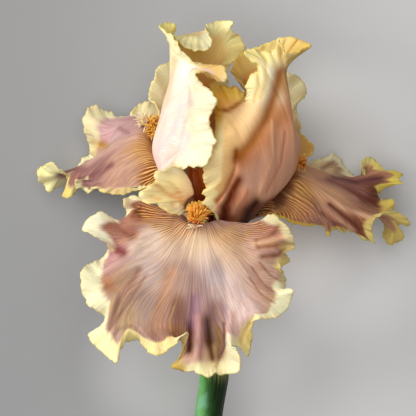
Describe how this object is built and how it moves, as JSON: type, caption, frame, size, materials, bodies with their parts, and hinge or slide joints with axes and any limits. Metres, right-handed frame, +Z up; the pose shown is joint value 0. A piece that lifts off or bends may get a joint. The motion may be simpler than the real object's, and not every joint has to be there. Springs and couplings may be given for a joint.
{
  "type": "bearded iris flower",
  "caption": "Single open bearded iris on a short cut stem, lying on its back: ruffled falls and upright standards around the flower's throat.",
  "frame": {"origin": "middle of the box around the flower, on the surface that it lies on", "axes": "+Y along the stem towards the top of the flower, +Z up from the surface, the front fall on top"},
  "size_m": [0.1468, 0.2292, 0.0946],
  "materials": {
    "stem": "waxy green stem",
    "spathe": "glaucous green bract",
    "ovary": "smooth yellow-green ovary",
    "tube": "pale green-yellow tube",
    "fall_front": "mauve-brown petal with gold veins and a cream ruffled margin",
    "fall_left": "mauve-brown petal with gold veins and a cream ruffled margin",
    "fall_right": "mauve-brown petal with gold veins and an olive-gold ruffled margin",
    "standard_left": "pink-cream petal with a pale yellow ruffled margin",
    "standard_right": "peach petal with a gold ruffled margin",
    "standard_back": "pale gold petal with a ruffled margin",
    "style_arm": "satin orange-brown",
    "stamen": "cream filament and anther",
    "beard": "orange hairs"
  },
  "bodies": {
    "root": {"stem": "stem", "spathe_outer": "spathe", "spathe_inner": "spathe", "ovary": "ovary", "perianth_tube": "tube", "fall_front": "fall_front", "fall_left": "fall_left", "fall_right": "fall_right", "standard_left": "standard_left", "standard_right": "standard_right", "standard_back": "standard_back", "style_arm_front": "style_arm", "style_arm_left": "style_arm", "style_arm_right": "style_arm", "stamen_front": "stamen", "stamen_left": "stamen", "stamen_right": "stamen", "beard_front": "beard", "beard_left": "beard", "beard_right": "beard"}
  },
  "joints": []
}
